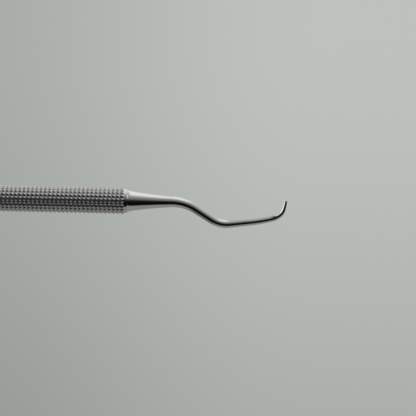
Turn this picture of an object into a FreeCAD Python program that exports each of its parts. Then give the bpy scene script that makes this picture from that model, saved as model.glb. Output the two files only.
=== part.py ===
import FreeCAD, Part
import math
import os

# Double-ended hand scaler in stainless steel, in millimetres. A knurled tube is the handle.
# A forged working end sits in each of its mouths: a tang inside the bore, a shoulder on the
# tube's end face, a bent tapering shank and a hooked blade, with a ring of braze at the seam.
# +X runs along the handle, +Z is the side that the blade at the +X end hooks towards, and
# the origin is the middle of the handle. The working end at -X is the point reflection of
# the one at +X, because the two blades of such an instrument are a mirrored pair.

# Handle tube
HANDLE_LENGTH = 100.0
HANDLE_R = 3.175  # a quarter of an inch across
BORE_R = 2.0
BAND_LENGTH = 12.0  # plain band in the middle of the handle
COLLAR_LENGTH = 0.8  # tapered collar between the last ring of knurling and the tube's end
COLLAR_R = 2.97
COLLAR_FLANK = 0.3  # length of the flank from the last crest down to the collar
END_R = 2.775
MOUTH_CHAMFER = 0.25  # countersink that holds the braze

# Knurl rings
KNURL_PITCH = 1.0
KNURL_DEPTH = 0.28
KNURL_LAND = 0.3  # width of the crest that each ring keeps

# Tang
TANG_LENGTH = 9.0
TANG_CLEARANCE = 0.02  # radial, for the film of braze
TANG_LEAD = 0.5
TANG_GROOVES = 3
TANG_GROOVE_PITCH = 2.0
TANG_GROOVE_WIDTH = 0.8
TANG_GROOVE_DEPTH = 0.2
FIRST_GROOVE = 2.0  # from the shoulder

# Centre line of a working end, from the handle's end face. A straight is given by its length,
# and a bend by its radius and its turn in degrees, positive towards the side the blade hooks to.
BASE_RUN = 10.4
FIRST_BEND = (11.3, -32.0)
DROP_RUN = 4.35
SECOND_BEND = (6.7, 38.7)
LOWER_RUN = 5.0
NECK_BEND = (42.0, 7.7)
HEEL_BEND = (3.7, 15.0)
BLADE_BEND = (2.9, 38.5)
TIP_BEND = (10.6, 14.0)

# Thickness of the shank: a straight taper, with a trumpet-shaped flare at its base and a
# small lip against the tube's end face
TAPER_START_R = 1.4  # what the straight taper alone would be at the handle
FLARE_HEIGHT = 1.14
FLARE_LENGTH = 15.0
LIP_HEIGHT = 0.19
LIP_LENGTH = 1.0
HEEL_R = 0.73

# Blade, whose section is half an ellipse under a flat face
HEEL_AT = 35.3  # distance along the centre line at which the face begins
HEEL_BLEND = 2.0  # the length over which the round section turns into the blade's
FACE_HEIGHT = 0.33  # of the middle of the face over the centre line
HEEL_DEPTH = 0.85
TOE_DEPTH = 0.45
HEEL_HALF_WIDTH = 0.6
TOE_HALF_WIDTH = 0.16
BLADE_TAPER_POWER = 1.6
FACE_LEAN = 10.0  # degrees that the face tips towards -Y at the +X end
TOE_ROUND = 0.2  # length of the rounded toe

# The sections that the curved surfaces are drawn through
LIP_STEP = 0.25
SHANK_STEP = 1.3
BLADE_STEP = 0.45
FINE_FROM = 31.0  # where the sections begin to follow the blade's step
TOE_SECTIONS = 4
HALF_OUTLINE = 8  # spans in each half of an outline
GRINDER_HALF_WIDTH = 2.0
GRINDER_HEIGHT = 2.5
GRINDER_OVERRUN = 0.4
GRINDER_CLEAR = 1.1  # times the shank's radius

HANDLE_END = HANDLE_LENGTH / 2
AXIS = FreeCAD.Vector(1, 0, 0)
ACROSS = FreeCAD.Vector(0, 1, 0)
ORIGIN = FreeCAD.Vector(0, 0, 0)
LEAN = math.radians(FACE_LEAN)


def arc_run(bend):
    """The length and the curvature of a bend."""
    radius, turn = bend
    return radius * math.radians(abs(turn)), math.copysign(1 / radius, turn)


RUNS = [
    (BASE_RUN, 0.0),
    arc_run(FIRST_BEND),
    (DROP_RUN, 0.0),
    arc_run(SECOND_BEND),
    (LOWER_RUN, 0.0),
    arc_run(NECK_BEND),
    arc_run(HEEL_BEND),
    arc_run(BLADE_BEND),
    arc_run(TIP_BEND),
]
TOE_AT = sum(length for length, bend in RUNS)


def smooth(t):
    """A step from 0 to 1 with level ends."""
    t = min(max(t, 0.0), 1.0)
    return t * t * (3 - 2 * t)


def centre_line(along):
    """The point at a distance along the centre line, and the heading up from +X there."""
    x, z, heading = HANDLE_END, 0.0, 0.0
    for length, bend in RUNS:
        step = min(along, length)
        along -= step
        if bend:
            after = heading + bend * step
            x += (math.sin(after) - math.sin(heading)) / bend
            z += (math.cos(heading) - math.cos(after)) / bend
            heading = after
        else:
            x += step * math.cos(heading)
            z += step * math.sin(heading)
    return FreeCAD.Vector(x, 0, z), heading


def shank_radius(along):
    """Radius of the round shank."""
    taper = TAPER_START_R + (HEEL_R - TAPER_START_R) * min(along / HEEL_AT, 1.0)
    flare = FLARE_HEIGHT * max(1 - along / FLARE_LENGTH, 0.0) ** 2
    lip = LIP_HEIGHT * max(1 - along / LIP_LENGTH, 0.0) ** 2
    return taper + flare + lip


def blade_size(along):
    """Half the width of the face, and the depth from the face to the back."""
    t = max((along - HEEL_AT) / (TOE_AT - HEEL_AT), 0.0)
    keep = 1 - t**BLADE_TAPER_POWER
    half_width = TOE_HALF_WIDTH + (HEEL_HALF_WIDTH - TOE_HALF_WIDTH) * keep
    depth = TOE_DEPTH + (HEEL_DEPTH - TOE_DEPTH) * keep
    return half_width, depth


def toe_scale(along):
    """1 along the blade, falling to 0 at the toe as a quarter circle does."""
    t = max(1 - (TOE_AT - along) / TOE_ROUND, 0.0)
    return math.sqrt(max(1 - t * t, 0.0))


def face_frame(along):
    """The middle of the face, and the directions across it and out of it.

    Back on the round shank the same frame is the centre of the circle, with no lean.
    """
    point, heading = centre_line(along)
    inward = FreeCAD.Vector(-math.sin(heading), 0, math.cos(heading))
    blade = smooth((along - HEEL_AT) / HEEL_BLEND)
    lean = LEAN * blade
    across = ACROSS * math.cos(lean) + inward * math.sin(lean)
    out = inward * math.cos(lean) - ACROSS * math.sin(lean)
    return point + inward * (FACE_HEIGHT * blade), across, out, blade


def ellipse(middle, start, side):
    """An outline whose half axes are the two vectors, as two halves that meet on the first."""
    angles = [math.pi * i / HALF_OUTLINE for i in range(HALF_OUTLINE + 1)]
    halves = []
    for sign in (1, -1):
        curve = Part.BSplineCurve()
        curve.interpolate(
            Points=[middle + (start * math.cos(a) + side * math.sin(a)) * sign for a in angles],
            Parameters=angles,
            InitialTangent=side * sign,
            FinalTangent=side * -sign,
            Scale=False,
        )
        halves.append(curve)
    return halves


def polygon(corners):
    """An outline of straight sides."""
    return [
        Part.LineSegment(start, end).toBSpline()
        for start, end in zip(corners, corners[1:] + corners[:1])
    ]


def body_outline(along):
    """The outline before the face is ground: a circle on the shank, an ellipse on the blade."""
    middle, across, out, blade = face_frame(along)
    radius = shank_radius(along)
    half_width, depth = blade_size(along)
    back = (depth + half_width * math.sin(LEAN)) / math.cos(LEAN)
    scale = toe_scale(along)
    return ellipse(
        middle,
        out * (radius + (back - radius) * blade) * scale,
        across * (radius + (half_width - radius) * blade) * scale,
    )


def grinder_outline(along):
    """The outline of what the grinding wheel takes away: everything above the face.

    Before the heel it clears the shank.
    """
    middle, across, out, blade = face_frame(along)
    middle = middle + out * shank_radius(along) * GRINDER_CLEAR * (1 - blade)
    side = across * GRINDER_HALF_WIDTH
    top = out * GRINDER_HEIGHT
    return polygon([middle - side, middle + side, middle + side + top, middle - side + top])


def steps(start, end, spacing):
    """Evenly spaced distances from start to just before end."""
    count = math.ceil((end - start) / spacing)
    return [start + (end - start) * i / count for i in range(count)]


def strip(curves, places):
    """A smooth face through matching curves at these distances."""
    first = curves[0]
    rows = []
    for i in range(first.NbPoles):
        row = Part.BSplineCurve()
        row.interpolate(Points=[curve.getPole(i + 1) for curve in curves], Parameters=places)
        rows.append(row)
    surface = Part.BSplineSurface()
    surface.buildFromPolesMultsKnots(
        [row.getPoles() for row in rows],
        first.getMultiplicities(),
        rows[0].getMultiplicities(),
        first.getKnots(),
        rows[0].getKnots(),
        False,
        False,
        first.Degree,
        rows[0].Degree,
    )
    return surface.toShape()


def skinned(outline, places):
    """A solid whose sides run smoothly through its outlines at these distances."""
    outlines = [outline(along) for along in places]
    faces = [strip(curves, places) for curves in zip(*outlines)]
    for end in (outlines[0], outlines[-1]):
        faces.append(Part.Face(Part.Wire([curve.toShape() for curve in end])))
    shell = Part.makeCompound(faces)
    shell.sewShape()
    solid = Part.makeSolid(shell.Shells[0])
    if solid.Volume < 0:
        solid.reverse()
    return solid


def shank_and_blade():
    """The bent shank and its blade, with the face ground flat across."""
    toe_start = TOE_AT - TOE_ROUND
    round_toe = [
        toe_start + TOE_ROUND * math.sin(math.pi / 2 * i / TOE_SECTIONS)
        for i in range(TOE_SECTIONS)
    ]
    shank = steps(0.0, LIP_LENGTH, LIP_STEP) + steps(LIP_LENGTH, FINE_FROM, SHANK_STEP)
    blade = steps(FINE_FROM, toe_start, BLADE_STEP)
    ground = steps(HEEL_AT - GRINDER_OVERRUN, TOE_AT, BLADE_STEP) + [TOE_AT]
    body = skinned(body_outline, shank + blade + round_toe)
    return body.cut(skinned(grinder_outline, ground)).Solids[0]


def turned(outline):
    """A solid of revolution about the handle's axis, from (x, radius) corners."""
    points = [FreeCAD.Vector(x, 0, radius) for x, radius in outline]
    face = Part.Face(Part.makePolygon(points + points[:1]))
    return face.revolve(ORIGIN, AXIS, 360)


def tang():
    """The grooved peg inside the handle, ending at the shoulder's plane."""
    radius = BORE_R - TANG_CLEARANCE
    inner = HANDLE_END - TANG_LENGTH
    outline = [(inner, 0.0), (inner, radius - TANG_LEAD), (inner + TANG_LEAD, radius)]
    for i in reversed(range(TANG_GROOVES)):
        near = HANDLE_END - FIRST_GROOVE - i * TANG_GROOVE_PITCH
        far = near - TANG_GROOVE_WIDTH
        floor = radius - TANG_GROOVE_DEPTH
        outline += [(far, radius), (far, floor), (near, floor), (near, radius)]
    outline += [(HANDLE_END, radius), (HANDLE_END, 0.0)]
    return turned(outline)


def working_end():
    """Tang, shoulder, shank and blade in one piece."""
    return tang().fuse(shank_and_blade()).Solids[0]


def handle_tube():
    """The hollow handle, with a ring of knurling at every pitch outside its plain band."""
    collar = HANDLE_END - COLLAR_LENGTH
    last_crest = collar - COLLAR_FLANK
    rings = round((last_crest - BAND_LENGTH / 2) / KNURL_PITCH)
    slope = (KNURL_PITCH - KNURL_LAND) / 2
    right = []
    for i in range(rings):
        groove = BAND_LENGTH / 2 + i * KNURL_PITCH
        right += [
            (groove, HANDLE_R),
            (groove + slope, HANDLE_R - KNURL_DEPTH),
            (groove + 2 * slope, HANDLE_R),
        ]
    right += [
        (last_crest, HANDLE_R),
        (collar, COLLAR_R),
        (HANDLE_END, END_R),
        (HANDLE_END, BORE_R + MOUTH_CHAMFER),
        (HANDLE_END - MOUTH_CHAMFER, BORE_R),
    ]
    left = [(-x, radius) for x, radius in reversed(right)]
    return turned(right + left)


def braze_ring():
    """The ring of filler in the mouth's countersink, between the tang and the shoulder."""
    tang_r = BORE_R - TANG_CLEARANCE
    return turned(
        [
            (HANDLE_END - MOUTH_CHAMFER, tang_r),
            (HANDLE_END - MOUTH_CHAMFER, BORE_R),
            (HANDLE_END, BORE_R + MOUTH_CHAMFER),
            (HANDLE_END, tang_r),
        ]
    )


def reflected(shape):
    """The same piece at the other end of the handle: its reflection through the origin."""
    other = shape.mirror(ORIGIN, AXIS)
    other.rotate(ORIGIN, AXIS, 180)
    return other


def main():
    right_end = working_end()
    right_ring = braze_ring()
    pieces = {
        "handle_tube": handle_tube(),
        "working_end_right": right_end,
        "working_end_left": reflected(right_end),
        "braze_ring_right": right_ring,
        "braze_ring_left": reflected(right_ring),
    }
    os.makedirs("parts", exist_ok=True)
    for name, shape in pieces.items():
        shape.exportStep(f"parts/{name}.step")
        print(name, "valid" if shape.isValid() else "INVALID", f"{shape.Volume:.2f} mm3")


main()
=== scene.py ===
"""A double-ended hand scaler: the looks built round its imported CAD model.

The knurled handle and the two working ends are fine meshes that stand for their CAD nodes.
They repeat the dimensions of part.py, in metres. The two braze rings keep their CAD meshes.
"""

import math
import random

import bpy
from mathutils import Matrix, Vector


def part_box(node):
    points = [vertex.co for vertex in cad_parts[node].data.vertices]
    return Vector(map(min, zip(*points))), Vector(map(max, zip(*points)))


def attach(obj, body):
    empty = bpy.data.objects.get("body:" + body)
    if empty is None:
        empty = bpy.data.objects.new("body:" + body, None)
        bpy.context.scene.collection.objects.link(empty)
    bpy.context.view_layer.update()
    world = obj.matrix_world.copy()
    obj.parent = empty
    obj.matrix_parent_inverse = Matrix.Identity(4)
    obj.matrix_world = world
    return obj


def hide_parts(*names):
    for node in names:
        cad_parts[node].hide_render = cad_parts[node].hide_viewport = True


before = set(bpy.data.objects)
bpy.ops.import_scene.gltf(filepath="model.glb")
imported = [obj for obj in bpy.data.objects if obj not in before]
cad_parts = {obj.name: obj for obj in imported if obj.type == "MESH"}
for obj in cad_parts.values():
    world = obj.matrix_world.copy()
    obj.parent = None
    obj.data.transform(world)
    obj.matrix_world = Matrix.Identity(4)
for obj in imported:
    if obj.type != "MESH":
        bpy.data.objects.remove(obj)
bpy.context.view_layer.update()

MM = 0.001
SEED = 7

# Handle, as in part.py
HANDLE_LENGTH = 100 * MM
HANDLE_R = 3.175 * MM
BORE_R = 2.0 * MM
BAND_LENGTH = 12 * MM
COLLAR_LENGTH = 0.8 * MM
COLLAR_R = 2.97 * MM
COLLAR_FLANK = 0.3 * MM
END_R = 2.775 * MM
MOUTH_CHAMFER = 0.25 * MM
KNURL_PITCH = 1.0 * MM
KNURL_DEPTH = 0.28 * MM
KNURL_LAND = 0.3 * MM

# What the visual model adds: each ring is cut into pyramids by grooves along the handle
TEETH_AROUND = 20
TEETH_PHASE = 0.18  # share of a tooth by which the teeth are turned about the handle
# Places across one tooth, as shares of the pitch from its crest, and the height at each: along
# the handle, where a ring has a flat floor, and around it, where the grooves are sharper
ALONG_PROFILE = [
    (-0.5, 0.0),
    (-0.38, 0.08),
    (-0.24, 0.52),
    (-0.06, 0.96),
    (0.06, 0.96),
    (0.24, 0.52),
    (0.38, 0.08),
]
AROUND_PROFILE = [
    (-0.5, 0.0),
    (-0.43, 0.12),
    (-0.25, 0.52),
    (-0.04, 0.96),
    (0.04, 0.96),
    (0.25, 0.52),
    (0.43, 0.12),
]
TOOTH_ROUNDING = 4.0  # how round a tooth's four ridges are: smaller is rounder
TOOTH_WEAR = 0.08  # largest share of its height that a tooth has lost
RUNOUT_STEP = 0.08 * MM  # between the sections in which the grooves run out on the collar
EDGE_BREAK = 0.02 * MM  # small round on the band's edges and the tube's ends

# Tang, as in part.py
TANG_LENGTH = 9 * MM
TANG_CLEARANCE = 0.02 * MM
TANG_LEAD = 0.5 * MM
TANG_GROOVES = 3
TANG_GROOVE_PITCH = 2 * MM
TANG_GROOVE_WIDTH = 0.8 * MM
TANG_GROOVE_DEPTH = 0.2 * MM
FIRST_GROOVE = 2 * MM

# Centre line of a working end, as in part.py: lengths of straights, radii and turns of bends
# They are rounded from fits to the photograph, and so is the shank's thickness below.
BASE_RUN = 10.4 * MM
FIRST_BEND = (11.3 * MM, -32)
DROP_RUN = 4.35 * MM
SECOND_BEND = (6.7 * MM, 38.7)
LOWER_RUN = 5.0 * MM
NECK_BEND = (42 * MM, 7.7)
HEEL_BEND = (3.7 * MM, 15)
BLADE_BEND = (2.9 * MM, 38.5)
TIP_BEND = (10.6 * MM, 14)

# Shank and blade, as in part.py
TAPER_START_R = 1.4 * MM
FLARE_HEIGHT = 1.14 * MM
FLARE_LENGTH = 15 * MM
LIP_HEIGHT = 0.19 * MM
LIP_LENGTH = 1.0 * MM
HEEL_R = 0.73 * MM
HEEL_AT = 35.3 * MM
HEEL_BLEND = 2.0 * MM
FACE_HEIGHT = 0.33 * MM
HEEL_DEPTH = 0.85 * MM
TOE_DEPTH = 0.45 * MM
HEEL_HALF_WIDTH = 0.6 * MM
TOE_HALF_WIDTH = 0.16 * MM
BLADE_TAPER_POWER = 1.6
LEAN = math.radians(10)
TOE_ROUND = 0.2 * MM
FACE_CLEAR = 1.1

# The working end's mesh
AROUND = 64
FACE_SIDE = 8  # points from the middle of the face to its edge
FACE_GATHER = 5 * MM  # length of shank over which those points draw together before the face
FACE_START_ANGLE = math.radians(12)
SHANK_STEP = 0.18 * MM
HEEL_STEP = 0.04 * MM
BLADE_STEP = 0.08 * MM
TOE_STEPS = 8

HANDLE_END = HANDLE_LENGTH / 2
TAU = 2 * math.pi


# ---------------------------------------------------------------- meshes


def ring_mesh(name, rings, loop=False):
    """A closed mesh through rings of points of one size.

    loop joins the last ring to the first. Otherwise the two ends are single points.
    """
    vertices = []
    faces = []
    starts = []
    for ring in rings:
        starts.append(len(vertices))
        vertices.extend(ring)
    pairs = list(zip(range(len(rings)), range(1, len(rings))))
    if loop:
        pairs.append((len(rings) - 1, 0))
    for a, b in pairs:
        near, far = starts[a], starts[b]
        count = max(len(rings[a]), len(rings[b]))
        for i in range(count):
            j = (i + 1) % count
            if len(rings[a]) == 1:
                faces.append((near, far + i, far + j))
            elif len(rings[b]) == 1:
                faces.append((near + j, near + i, far))
            else:
                faces.append((near + j, near + i, far + i, far + j))
    mesh = bpy.data.meshes.new(name)
    mesh.from_pydata(vertices, [], faces)
    mesh.validate()
    piece = bpy.data.objects.new(name, mesh)
    bpy.context.scene.collection.objects.link(piece)
    return piece


def soften(piece, angle):
    """Smooth shading, with edges sharper than this angle in degrees left sharp."""
    piece.data.shade_smooth()
    piece.data.set_sharp_from_angle(angle=math.radians(angle))


def smooth(t):
    """A step from 0 to 1 with level ends."""
    t = min(max(t, 0.0), 1.0)
    return t * t * (3 - 2 * t)


def spread(start, end, spacing):
    """Evenly spaced numbers from start to just before end."""
    count = math.ceil((end - start) / spacing)
    return [start + (end - start) * i / count for i in range(count)]


# ---------------------------------------------------------------- handle


def collar_radius(x):
    """Radius of the handle past its last crest: a steep flank, then the tapered collar."""
    left = HANDLE_END - x
    if left > COLLAR_LENGTH:
        return COLLAR_R + (HANDLE_R - COLLAR_R) * (left - COLLAR_LENGTH) / COLLAR_FLANK
    return END_R + (COLLAR_R - END_R) * left / COLLAR_LENGTH


def tooth_radius(along, around, wear):
    """Radius where the grooves along and around the handle leave these shares of its height."""
    cut = ((1 - along) ** TOOTH_ROUNDING + (1 - around) ** TOOTH_ROUNDING) ** (1 / TOOTH_ROUNDING)
    return HANDLE_R - KNURL_DEPTH * (1 - max(1 - cut, 0.0) * wear)


def knurled_half(draw):
    """(x, radii) sections of half the handle's outside, from its middle band to its end."""
    collar_at = HANDLE_END - COLLAR_LENGTH
    teeth_at = collar_at - COLLAR_FLANK
    first_root = BAND_LENGTH / 2 + (KNURL_PITCH - KNURL_LAND) / 2
    rings = round((teeth_at - BAND_LENGTH / 2) / KNURL_PITCH)
    plain = [HANDLE_R] * (TEETH_AROUND * len(AROUND_PROFILE))
    sections = [(BAND_LENGTH / 2 - EDGE_BREAK, plain)]
    sections.append((BAND_LENGTH / 2, [HANDLE_R - EDGE_BREAK / 4] * len(plain)))
    for i in range(rings):
        root = first_root + i * KNURL_PITCH
        worn = [1 - TOOTH_WEAR * draw.random() for j in range(TEETH_AROUND)]
        for place, height in ALONG_PROFILE:
            x = root + (place + 0.5) * KNURL_PITCH
            if x > teeth_at:
                break
            radii = []
            for wear in worn:
                for _, side in AROUND_PROFILE:
                    radii.append(tooth_radius(height, side, wear))
            sections.append((x, radii))
    taper = (COLLAR_R - END_R) / COLLAR_LENGTH
    clear = collar_at + (COLLAR_R - HANDLE_R + KNURL_DEPTH) / taper
    runout = spread(teeth_at, collar_at, RUNOUT_STEP) + spread(collar_at, clear, RUNOUT_STEP)
    for x in runout + [clear]:
        radii = []
        for wear in worn:
            for _, side in AROUND_PROFILE:
                radii.append(min(tooth_radius(1.0, side, wear), collar_radius(x)))
        sections.append((x, radii))
    rest = [
        (HANDLE_END - 2 * EDGE_BREAK, END_R + 2 * EDGE_BREAK * taper),
        (HANDLE_END - EDGE_BREAK, END_R + EDGE_BREAK * taper),
        (HANDLE_END, END_R - EDGE_BREAK),
        (HANDLE_END, BORE_R + MOUTH_CHAMFER),
        (HANDLE_END - MOUTH_CHAMFER, BORE_R),
    ]
    return sections + [(x, [radius] * len(plain)) for x, radius in rest]


def handle():
    """The handle tube, its teeth cut as real square pyramids."""
    draw = random.Random(SEED)
    angles = []
    for j in range(TEETH_AROUND):
        for place, _ in AROUND_PROFILE:
            angles.append(TAU * (j + place + TEETH_PHASE) / TEETH_AROUND)
    directions = [(math.sin(angle), math.cos(angle)) for angle in angles]
    right = knurled_half(draw)
    left = [(-x, radii) for x, radii in reversed(knurled_half(draw))]
    rings = []
    for x, radii in right + left:
        rings.append([(x, r * side, r * up) for r, (side, up) in zip(radii, directions)])
    piece = ring_mesh("handle_knurled", rings, loop=True)
    soften(piece, 50)
    return piece


# ---------------------------------------------------------------- working ends


def arc_run(bend):
    """The length and the curvature of an arc."""
    radius, turn = bend
    return radius * math.radians(abs(turn)), math.copysign(1 / radius, turn)


RUNS = [
    (BASE_RUN, 0.0),
    arc_run(FIRST_BEND),
    (DROP_RUN, 0.0),
    arc_run(SECOND_BEND),
    (LOWER_RUN, 0.0),
    arc_run(NECK_BEND),
    arc_run(HEEL_BEND),
    arc_run(BLADE_BEND),
    arc_run(TIP_BEND),
]
TOE_AT = sum(length for length, bend in RUNS)


def centre_line(along):
    """The point at a distance along the centre line, and the heading up from +X there."""
    x, z, heading = HANDLE_END, 0.0, 0.0
    for length, bend in RUNS:
        step = min(along, length)
        along -= step
        if bend:
            after = heading + bend * step
            x += (math.sin(after) - math.sin(heading)) / bend
            z += (math.cos(heading) - math.cos(after)) / bend
            heading = after
        else:
            x += step * math.cos(heading)
            z += step * math.sin(heading)
    return Vector((x, 0, z)), heading


def shank_radius(along):
    """Radius of the round shank."""
    taper = TAPER_START_R + (HEEL_R - TAPER_START_R) * min(along / HEEL_AT, 1.0)
    flare = FLARE_HEIGHT * max(1 - along / FLARE_LENGTH, 0.0) ** 2
    lip = LIP_HEIGHT * max(1 - along / LIP_LENGTH, 0.0) ** 2
    return taper + flare + lip


def blade_size(along):
    """Half the width of the face, and the depth from the face to the back."""
    t = max((along - HEEL_AT) / (TOE_AT - HEEL_AT), 0.0)
    keep = 1 - t**BLADE_TAPER_POWER
    half_width = TOE_HALF_WIDTH + (HEEL_HALF_WIDTH - TOE_HALF_WIDTH) * keep
    depth = TOE_DEPTH + (HEEL_DEPTH - TOE_DEPTH) * keep
    return half_width, depth


def toe_scale(along):
    """1 along the blade, falling to 0 at the toe as a quarter circle does."""
    t = max(1 - (TOE_AT - along) / TOE_ROUND, 0.0)
    return math.sqrt(max(1 - t * t, 0.0))


def section(along):
    """The ring of points round the shank or blade, flat across where the face is ground."""
    point, heading = centre_line(along)
    inward = Vector((-math.sin(heading), 0, math.cos(heading)))
    blade = smooth((along - HEEL_AT) / HEEL_BLEND)
    half_width, depth = blade_size(along)
    radius = shank_radius(along)
    lean = LEAN * blade
    across = Vector((0, 1, 0)) * math.cos(lean) + inward * math.sin(lean)
    out = inward * math.cos(lean) - Vector((0, 1, 0)) * math.sin(lean)
    middle = point + inward * (FACE_HEIGHT * blade)
    back = (depth + half_width * math.sin(LEAN)) / math.cos(LEAN)
    scale = toe_scale(along)
    tall = (radius + (back - radius) * blade) * scale
    wide = (radius + (half_width - radius) * blade) * scale
    face = radius * FACE_CLEAR * (1 - blade)
    even = FACE_SIDE * TAU / AROUND
    gathered = even + (FACE_START_ANGLE - even) * smooth(1 - (HEEL_AT - along) / FACE_GATHER)
    cut = math.acos(min(face / tall, 1.0)) if tall > 0 else math.pi / 2
    edge = max(gathered, cut)
    ring = []
    for i in range(AROUND):
        step = min(i, AROUND - i)
        if step <= FACE_SIDE:
            turn = edge * step / FACE_SIDE
        else:
            turn = edge + (math.pi - edge) * (step - FACE_SIDE) / (AROUND / 2 - FACE_SIDE)
        if i > AROUND / 2:
            turn = -turn
        height = min(tall * math.cos(turn), face)
        ring.append(middle + out * height + across * (wide * math.sin(turn)))
    return ring


def tang_sections():
    """(x, radius) of the grooved peg inside the handle, and of its shoulder."""
    radius = BORE_R - TANG_CLEARANCE
    inner = HANDLE_END - TANG_LENGTH
    outline = [(inner, radius - TANG_LEAD), (inner + TANG_LEAD, radius)]
    for i in reversed(range(TANG_GROOVES)):
        near = HANDLE_END - FIRST_GROOVE - i * TANG_GROOVE_PITCH
        far = near - TANG_GROOVE_WIDTH
        floor = radius - TANG_GROOVE_DEPTH
        outline += [(far, radius), (far, floor), (near, floor), (near, radius)]
    return outline + [(HANDLE_END, radius)]


def working_end(name, sign):
    """Tang, shank and blade. sign is 1 at the +X end, and -1 for its reflection at the other."""
    rings = [[Vector((HANDLE_END - TANG_LENGTH, 0, 0))]]
    for x, radius in tang_sections():
        ring = []
        for i in range(AROUND):
            turn = TAU * i / AROUND
            ring.append(Vector((x, radius * math.sin(turn), radius * math.cos(turn))))
        rings.append(ring)
    toe_start = TOE_AT - TOE_ROUND
    ground = HEEL_AT + HEEL_BLEND
    places = spread(0.0, HEEL_AT, SHANK_STEP)
    places += spread(HEEL_AT, ground, HEEL_STEP)
    places += spread(ground, toe_start, BLADE_STEP)
    for i in range(TOE_STEPS):
        places.append(toe_start + TOE_ROUND * math.sin(math.pi / 2 * i / TOE_STEPS))
    rings += [section(along) for along in places]
    rings.append([section(TOE_AT)[0]])
    rings = [[point * sign for point in ring] for ring in rings]
    piece = ring_mesh(name, rings)
    if sign < 0:
        piece.data.flip_normals()
    soften(piece, 30)
    return piece


# ---------------------------------------------------------------- materials


def put(tree, kind, settings=None, **inputs):
    """A node with these settings.

    An input is given by its name, or as i0, i1 and so on by its place where names repeat. Its
    value is a number, a colour, a vector or another node's socket.
    """
    node = tree.nodes.new(kind)
    for key, value in (settings or {}).items():
        setattr(node, key, value)
    for key, value in inputs.items():
        socket = node.inputs[int(key[1:])] if key[1:].isdigit() else node.inputs[key.replace("_", " ")]
        if isinstance(value, bpy.types.NodeSocket):
            tree.links.new(value, socket)
        else:
            socket.default_value = value
    return node


def math_node(tree, operation, a, b=0.0):
    return put(tree, "ShaderNodeMath", {"operation": operation}, i0=a, i1=b).outputs[0]


def remap(tree, value, low, high, to_low, to_high, kind="LINEAR"):
    settings = {"interpolation_type": kind}
    return put(
        tree,
        "ShaderNodeMapRange",
        settings,
        Value=value,
        From_Min=low,
        From_Max=high,
        To_Min=to_low,
        To_Max=to_high,
    ).outputs[0]


def grain(tree, scale, stretch, detail, roughness):
    """Noise in object space. scale is in waves a metre, stretched by a factor on each axis."""
    place = put(tree, "ShaderNodeTexCoord").outputs["Object"]
    scaled = put(tree, "ShaderNodeMapping", Vector=place, Scale=stretch).outputs[0]
    return put(
        tree, "ShaderNodeTexNoise", Vector=scaled, Scale=scale, Detail=detail, Roughness=roughness
    ).outputs[0]


def blend_colours(tree, share, first, second):
    """The second colour where share is 1, the first where it is 0."""
    return put(tree, "ShaderNodeMix", {"data_type": "RGBA"}, i0=share, i6=first, i7=second).outputs[2]


def metal(name):
    """A new metal material, its node tree and its shader."""
    material = bpy.data.materials.new(name)
    material.use_nodes = True
    tree = material.node_tree
    shader = tree.nodes["Principled BSDF"]
    shader.inputs["Metallic"].default_value = 1.0
    return material, tree, shader


def finish(tree, shader, colour, rough, height, depth, strength):
    """Give the shader its colour and roughness, and a bump this deep in metres."""
    tree.links.new(colour, shader.inputs["Base Color"])
    tree.links.new(rough, shader.inputs["Roughness"])
    bump = put(tree, "ShaderNodeBump", Strength=strength, Distance=depth, Height=height)
    tree.links.new(bump.outputs[0], shader.inputs["Normal"])


# Each noise is (waves a metre, stretch on each axis, detail, roughness)
EVEN = (1.0, 1.0, 1.0)
POLISH_LINES = (900.0, (30.0, 1.0, 1.0), 3.0, 0.6)
SMUDGES = (260.0, EVEN, 4.0, 0.55)
POLISHED_COLOURS = ((0.60, 0.60, 0.59, 1), (0.66, 0.66, 0.65, 1))
SMUDGE_ROUGHNESS = (0.35, 0.7, 0.05, 0.09)  # noise from and to, roughness from and to
LINE_ROUGHNESS = (0.4, 0.7, 0.0, 0.03)
LINE_DEPTH = 0.001 * MM
LINE_STRENGTH = 0.1


def polished_steel():
    """Ground and polished stainless steel: fine lines round the shank, and faint smudges."""
    material, tree, shader = metal("polished_steel_fine")
    lines = grain(tree, *POLISH_LINES)
    smudges = grain(tree, *SMUDGES)
    colour = blend_colours(tree, smudges, *POLISHED_COLOURS)
    soft = remap(tree, smudges, *SMUDGE_ROUGHNESS)
    rough = math_node(tree, "ADD", soft, remap(tree, lines, *LINE_ROUGHNESS))
    finish(tree, shader, colour, rough, lines, LINE_DEPTH, LINE_STRENGTH)
    return material


# The handle. Grime and painted shade sit where the tooth's height, plus some of the fine noise, is low
FINE_GRAIN = (2600.0, EVEN, 4.0, 0.6)
BROAD_GRAIN = (120.0, EVEN, 3.0, 0.5)
GRAIN_IN_GRIME_AND_SHADE = 0.4
GRIME_AND_SHADE = (0.15, 0.8, 1.0, 0.0)  # height from and to, grime and painted shade from and to
HANDLE_COLOURS = ((0.51, 0.51, 0.52, 1), (0.57, 0.57, 0.57, 1))
GRIME_AND_SHADE_COLOUR = (0.50, 0.49, 0.49, 1)
CREST_ROUGHNESS = 0.16
GRIME_AND_SHADE_ROUGHNESS = 0.3
FINE_ROUGHNESS = (0.35, 0.7, 0.0, 0.06)
COLLAR_POLISH = 0.4  # the collar's roughness as a share of the crests'
GRIME_AND_SHADE_METAL = 0.72  # how metallic the steel still is where grime and painted shade sit
GRAIN_DEPTH = 0.004 * MM
GRAIN_STRENGTH = 0.2


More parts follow.
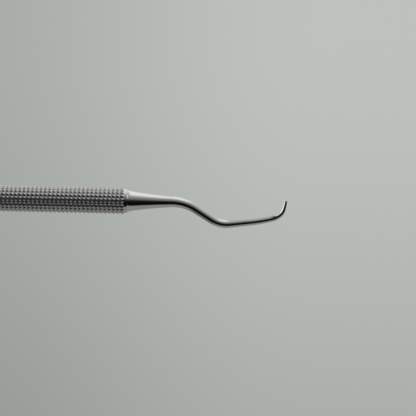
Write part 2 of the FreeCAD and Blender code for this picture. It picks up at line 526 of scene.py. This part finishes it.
def handle_steel():
    """Knurled stainless steel: worn bright crests, grooves darker and duller by grime and painted
    shade, a polished collar.
    """
    material, tree, shader = metal("handle_steel_knurled")
    place = put(tree, "ShaderNodeTexCoord").outputs["Object"]
    parts = put(tree, "ShaderNodeSeparateXYZ", Vector=place)
    squares = [math_node(tree, "POWER", parts.outputs[axis], 2.0) for axis in (1, 2)]
    radius = math_node(tree, "SQRT", math_node(tree, "ADD", *squares))
    crest = remap(tree, radius, HANDLE_R - KNURL_DEPTH, HANDLE_R, 0.0, 1.0, "SMOOTHSTEP")
    fine = grain(tree, *FINE_GRAIN)
    broad = grain(tree, *BROAD_GRAIN)
    patchy = math_node(tree, "ADD", crest, math_node(tree, "MULTIPLY", fine, GRAIN_IN_GRIME_AND_SHADE))
    collar_at = HANDLE_END - COLLAR_LENGTH
    out = math_node(tree, "ABSOLUTE", parts.outputs[0])
    knurled = remap(tree, out, collar_at - COLLAR_FLANK, collar_at, 1.0, 0.0)
    # painted shade: the grooves are painted darker, duller and less metallic, partly grime and partly
    # shade in the recesses
    grime_and_shade = math_node(tree, "MULTIPLY", remap(tree, patchy, *GRIME_AND_SHADE), knurled)
    steel = blend_colours(tree, broad, *HANDLE_COLOURS)
    colour = blend_colours(tree, grime_and_shade, steel, GRIME_AND_SHADE_COLOUR)
    dull = remap(tree, grime_and_shade, 0.0, 1.0, CREST_ROUGHNESS, GRIME_AND_SHADE_ROUGHNESS)
    rough = math_node(tree, "ADD", dull, remap(tree, fine, *FINE_ROUGHNESS))
    rough = math_node(tree, "MULTIPLY", rough, remap(tree, knurled, 0.0, 1.0, COLLAR_POLISH, 1.0))
    tree.links.new(remap(tree, grime_and_shade, 0.0, 1.0, 1.0, GRIME_AND_SHADE_METAL), shader.inputs["Metallic"])
    finish(tree, shader, colour, rough, fine, GRAIN_DEPTH, GRAIN_STRENGTH)
    return material


# The braze
RIPPLE = (4000.0, EVEN, 3.0, 0.5)
BRAZE_COLOURS = ((0.70, 0.66, 0.56, 1), (0.76, 0.73, 0.64, 1))
RIPPLE_ROUGHNESS = (0.3, 0.7, 0.25, 0.4)
RIPPLE_DEPTH = 0.01 * MM
RIPPLE_STRENGTH = 0.3


def braze_alloy():
    """Silver braze: warmer than the steel, and rippled where it froze."""
    material, tree, shader = metal("braze_alloy_cast")
    ripple = grain(tree, *RIPPLE)
    colour = blend_colours(tree, ripple, *BRAZE_COLOURS)
    rough = remap(tree, ripple, *RIPPLE_ROUGHNESS)
    finish(tree, shader, colour, rough, ripple, RIPPLE_DEPTH, RIPPLE_STRENGTH)
    return material


def dress(piece, material):
    piece.data.materials.clear()
    piece.data.materials.append(material)


# ---------------------------------------------------------------- studio

# Light that the metal reflects, by the angle round the handle's axis: 0 is level in front,
# 90 overhead, 180 level behind and -90 straight down. Each stop is (angle, brightness).
# These stops were not designed by hand. They come from a scratch program's least-squares fit to
# the reflections in the photographed shank, scaled, rounded and then adjusted.
LIGHT_ROUND = [
    (-180, 0.50),
    (-165, 0.34),
    (-140, 0.36),
    (-100, 0.34),
    (-72, 0.37),
    (-65, 0.30),
    (-57, 0.03),
    (-50, 0.004),
    (-25, 0.005),
    (-8, 0.010),
    (2, 0.025),
    (12, 0.09),
    (25, 0.25),
    (40, 0.33),
    (60, 0.52),
    (80, 0.65),
    (105, 0.70),
    (140, 0.64),
    (165, 0.66),
    (180, 0.60),
]
# The same light's strength by how far it comes from the side: -1 is from -X, 1 from +X
LIGHT_ACROSS = [
    (-1.0, 0.03),
    (-0.8, 0.08),
    (-0.6, 0.3),
    (-0.35, 0.85),
    (0.0, 1.0),
    (0.7, 1.0),
    (1.0, 0.6),
]
LIGHT_COLOUR = (1.0, 1.005, 0.97)
LEFT_TINT = (0.022, 0.016, 0.045)  # faint violet light from -X
TINT_FADE = (-0.3, -0.7, 0.0, 1.0)  # how far it comes from the side, from and to, and its share
# Soft boxes. Each lies between angles round the axis, and between angles to the +X side:
# where it starts, is full, begins to fade and ends. The last number is its brightness.
SOFT_BOXES = [
    ((45, 95, 125, 165), (-4, 6, 16, 26), 0.50),
    ((25, 60, 100, 130), (38, 48, 62, 75), 0.80),
    ((140, 155, 190, 200), (-40, -30, -20, -12), 0.90),
]

TENT_R = 1.8
TENT_FLOOR = -0.9
TENT_TOP = 1.8
TENT_CORNER = 0.6
TENT_STEPS = 16  # in each curve between floor or ceiling and wall
TENT_AROUND = 96
# The backdrop glows: painted light, brighter towards the top and towards +X, as if softly lit from
# above right
TENT_GLOW_COLOUR = (0.487, 0.512, 0.492, 1)
TENT_UP = (-0.55, 0.25, 0.77, 1.053)  # height from and to, brightness from and to
TENT_RIGHT = (-0.36, 0.22, 0.745, 1.0)  # the same along X


def ramp(tree, value, stops):
    """A colour ramp through (place from 0 to 1, grey) stops."""
    node = put(tree, "ShaderNodeValToRGB", Fac=value)
    marks = node.color_ramp.elements
    while len(marks) < len(stops):
        marks.new(0.5)
    for mark, (place, grey) in zip(marks, stops):
        mark.position = place
        mark.color = (grey, grey, grey, 1)
    return node.outputs[0]


def window(tree, value, start, full, fade, end):
    """1 where the value is from full to fade, and 0 before start and after end, all in degrees."""
    edges = [math.radians(edge) for edge in (start, full, fade, end)]
    rise = remap(tree, value, edges[0], edges[1], 0.0, 1.0, "SMOOTHSTEP")
    fall = remap(tree, value, edges[2], edges[3], 1.0, 0.0, "SMOOTHSTEP")
    return math_node(tree, "MULTIPLY", rise, fall)


def world_light():
    """Soft light from every side, as a function of direction alone."""
    world = bpy.data.worlds.new("studio")
    bpy.context.scene.world = world
    world.use_nodes = True
    tree = world.node_tree
    tree.nodes.clear()
    place = put(tree, "ShaderNodeTexCoord").outputs["Generated"]
    parts = put(tree, "ShaderNodeSeparateXYZ", Vector=place)
    front = math_node(tree, "MULTIPLY", parts.outputs[1], -1.0)
    angle = math_node(tree, "ARCTAN2", parts.outputs[2], front)
    turn = remap(tree, angle, -math.pi, math.pi, 0.0, 1.0)
    round_light = ramp(tree, turn, [((a + 180) / 360, grey) for a, grey in LIGHT_ROUND])
    across = remap(tree, parts.outputs[0], -1.0, 1.0, 0.0, 1.0)
    across_light = ramp(tree, across, [((place + 1) / 2, grey) for place, grey in LIGHT_ACROSS])
    grey = math_node(tree, "MULTIPLY", round_light, across_light)
    side = math_node(tree, "ARCSINE", parts.outputs[0])
    for box_round, box_across, brightness in SOFT_BOXES:
        box = math_node(
            tree, "MULTIPLY", window(tree, angle, *box_round), window(tree, side, *box_across)
        )
        grey = math_node(tree, "ADD", grey, math_node(tree, "MULTIPLY", box, brightness))
    light = put(
        tree, "ShaderNodeVectorMath", {"operation": "SCALE"}, i0=LIGHT_COLOUR, Scale=grey
    ).outputs[0]
    tint = put(
        tree,
        "ShaderNodeVectorMath",
        {"operation": "SCALE"},
        i0=LEFT_TINT,
        Scale=remap(tree, parts.outputs[0], *TINT_FADE),
    ).outputs[0]
    sum_light = put(tree, "ShaderNodeVectorMath", {"operation": "ADD"}, i0=light, i1=tint).outputs[0]
    shader = put(tree, "ShaderNodeBackground", Color=sum_light, Strength=1.0)
    output = put(tree, "ShaderNodeOutputWorld")
    tree.links.new(shader.outputs[0], output.inputs["Surface"])


def tent():
    """A seamless pale floor and wall all round, curving into each other, glowing with painted light
    that is brighter towards the top and towards +X. Only the camera sees it.
    """
    turns = [math.pi / 2 * i / TENT_STEPS for i in range(TENT_STEPS + 1)]
    flat = TENT_R - TENT_CORNER
    profile = []
    for turn in turns:
        lift = TENT_CORNER - TENT_CORNER * math.cos(turn)
        profile.append((flat + TENT_CORNER * math.sin(turn), TENT_FLOOR + lift))
    for turn in turns:
        drop = TENT_CORNER - TENT_CORNER * math.sin(turn)
        profile.append((flat + TENT_CORNER * math.cos(turn), TENT_TOP - drop))
    angles = [TAU * i / TENT_AROUND for i in range(TENT_AROUND)]
    rings = [[(0.0, 0.0, TENT_FLOOR)]]
    for radius, z in profile:
        rings.append([(radius * math.cos(a), radius * math.sin(a), z) for a in angles])
    rings.append([(0.0, 0.0, TENT_TOP)])
    piece = ring_mesh("pale_floor_and_wall", rings)
    soften(piece, 60)
    material = bpy.data.materials.new("pale_backdrop_painted_glow")
    material.use_nodes = True
    tree = material.node_tree
    tree.nodes.clear()
    place = put(tree, "ShaderNodeTexCoord").outputs["Object"]
    parts = put(tree, "ShaderNodeSeparateXYZ", Vector=place)
    # painted light: the glow grows towards the top and towards +X
    up = remap(tree, parts.outputs[2], *TENT_UP, "SMOOTHSTEP")
    right = remap(tree, parts.outputs[0], *TENT_RIGHT, "SMOOTHSTEP")
    grey = math_node(tree, "MULTIPLY", up, right)
    glow = put(tree, "ShaderNodeEmission", Color=TENT_GLOW_COLOUR, Strength=grey)
    output = put(tree, "ShaderNodeOutputMaterial")
    tree.links.new(glow.outputs[0], output.inputs["Surface"])
    dress(piece, material)
    piece.visible_glossy = False
    piece.visible_diffuse = False
    piece.visible_shadow = False


# The camera looks level along +Y at the +X end, a little rolled, as the object is seen hanging
CAMERA_BACK = 370 * MM
CAMERA_LENS = 135.0
CAMERA_SENSOR = 36.0
CAMERA_ROLL = math.radians(1.173)
CAMERA_CLIP = (0.01, 20.0)
# Where it looks, from the top right corner of the working end's box
AIM_FROM_HOOK = Vector((-18.75 * MM, 0, -4.03 * MM))


def camera():
    low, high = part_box("working_end_right")
    aim = Vector((high.x, 0, high.z)) + AIM_FROM_HOOK
    data = bpy.data.cameras.new("camera")
    data.lens = CAMERA_LENS
    data.sensor_width = CAMERA_SENSOR
    data.clip_start, data.clip_end = CAMERA_CLIP
    piece = bpy.data.objects.new("camera", data)
    bpy.context.scene.collection.objects.link(piece)
    turn = Matrix.Rotation(math.pi / 2, 4, "X") @ Matrix.Rotation(CAMERA_ROLL, 4, "Z")
    piece.matrix_world = Matrix.Translation(aim - Vector((0, CAMERA_BACK, 0))) @ turn
    bpy.context.scene.camera = piece


# ---------------------------------------------------------------- assembly

camera()
world_light()
tent()
bpy.context.scene.view_settings.view_transform = "Standard"

steel = polished_steel()
tube = handle()
dress(tube, handle_steel())
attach(tube, "root")
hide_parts("handle_tube")

for side, sign in (("right", 1), ("left", -1)):
    end = working_end(f"scaler_end_{side}", sign)
    dress(end, steel)
    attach(end, "root")
    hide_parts(f"working_end_{side}")

braze = braze_alloy()
for side in ("right", "left"):
    dress(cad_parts[f"braze_ring_{side}"], braze)
